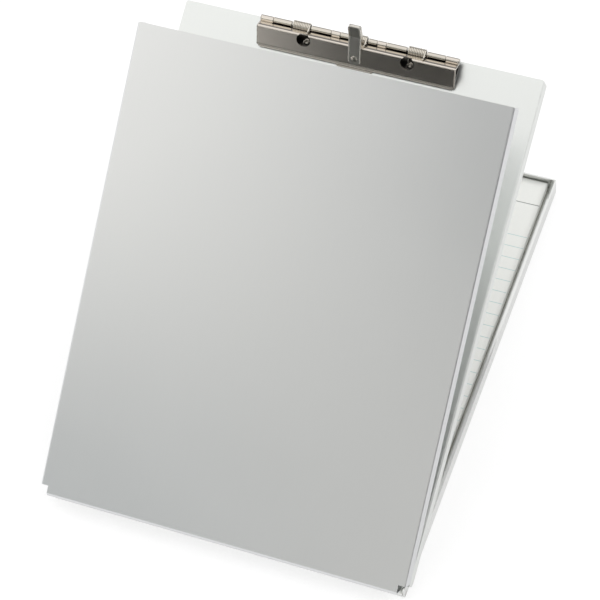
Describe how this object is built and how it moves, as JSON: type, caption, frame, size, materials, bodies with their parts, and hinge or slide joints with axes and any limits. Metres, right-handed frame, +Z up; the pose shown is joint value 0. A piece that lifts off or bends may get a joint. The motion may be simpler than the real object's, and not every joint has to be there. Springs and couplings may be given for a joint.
{
  "type": "storage clipboard box",
  "caption": "Folded aluminium storage clipboard: shallow forms tray, hinged writing plate with a sprung clip, and a hinged cover, all on one rod.",
  "frame": {"origin": "middle of the tray's flat underside", "axes": "+Z up out of the tray's underside, +Y from the hinge towards the clip end, +X to the writer's right"},
  "size_m": [0.241, 0.337, 0.2149],
  "materials": {
    "panel_aluminium": "satin anodised",
    "rod_steel": "drawn bright",
    "clip_steel": "nickel plated",
    "spring_wire": "nickel-plated wire",
    "rivet_metal": "bright",
    "form_paper": "matt",
    "back_board": "matt",
    "pad_gum": "semi-gloss"
  },
  "bodies": {
    "tray": {"storage_tray": "panel_aluminium", "hinge_rod": "rod_steel", "pad_backing": "back_board", "pad_sheets": "form_paper", "top_form": "form_paper", "pad_glue": "pad_gum"},
    "plate": {"writing_plate": "panel_aluminium", "clip_base": "clip_steel", "base_rivets": "rivet_metal", "clip_pin": "rod_steel"},
    "cover": {"cover_plate": "panel_aluminium"},
    "jaw": {"clip_jaw": "clip_steel", "thumb_lever": "clip_steel", "lever_rivet": "rivet_metal", "spring_left": "spring_wire", "spring_centre": "spring_wire", "spring_right": "spring_wire"}
  },
  "joints": [
    {"name": "plate_hinge", "type": "hinge", "parent": "tray", "child": "plate", "pos_m": [0, -0.16132, 0.00265], "axis": [1, 0, 0], "range_deg": [-28.1, 61.9]},
    {"name": "cover_hinge", "type": "hinge", "parent": "plate", "child": "cover", "pos_m": [0, -0.16132, 0.00265], "axis": [1, 0, 0], "range_deg": [-11.7, 153.3]},
    {"name": "clip_jaw_hinge", "type": "hinge", "parent": "plate", "child": "jaw", "pos_m": [0, 0.11705, 0.1713], "axis": [-1, 0, 0], "range_deg": [0, 30], "stiffness_Nm_per_rad": 0.12, "springref_deg": -45.84}
  ]
}
